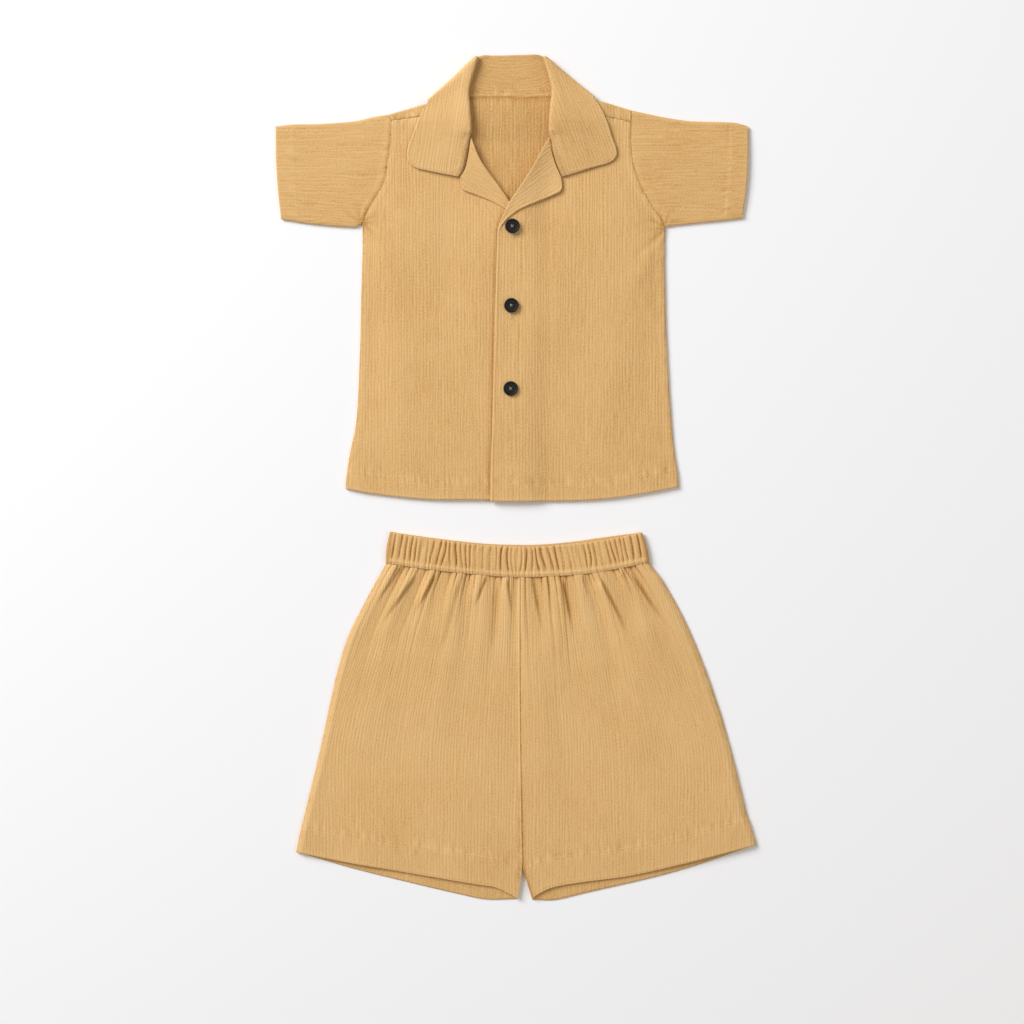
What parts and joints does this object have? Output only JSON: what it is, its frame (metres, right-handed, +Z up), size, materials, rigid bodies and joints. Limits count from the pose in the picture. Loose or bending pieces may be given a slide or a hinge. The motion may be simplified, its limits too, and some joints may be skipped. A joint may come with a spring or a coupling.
{
  "type": "pyjama set",
  "caption": "Child's short-sleeved pyjama set in golden-tan crinkled cotton gauze, notch-collar shirt above gathered shorts, laid flat.",
  "frame": {"origin": "middle of the laid-out set's bounding box, on its underside", "axes": "+Z up from the surface it lies on, +Y from the shorts' hems towards the shirt's collar, +X towards the wearer's left"},
  "size_m": [0.4091, 0.7197, 0.0091],
  "materials": {
    "gauze": "matt crinkled cotton",
    "button": "satin"
  },
  "bodies": {
    "root": {"shirt_back": "gauze", "shirt_front_right": "gauze", "shirt_front_left": "gauze", "sleeve_right": "gauze", "sleeve_left": "gauze", "collar": "gauze", "lapel_right": "gauze", "lapel_left": "gauze", "button_top": "button", "button_middle": "button", "button_bottom": "button", "waistband": "gauze", "shorts_front_right": "gauze", "shorts_front_left": "gauze", "shorts_back_right": "gauze", "shorts_back_left": "gauze"}
  },
  "joints": []
}
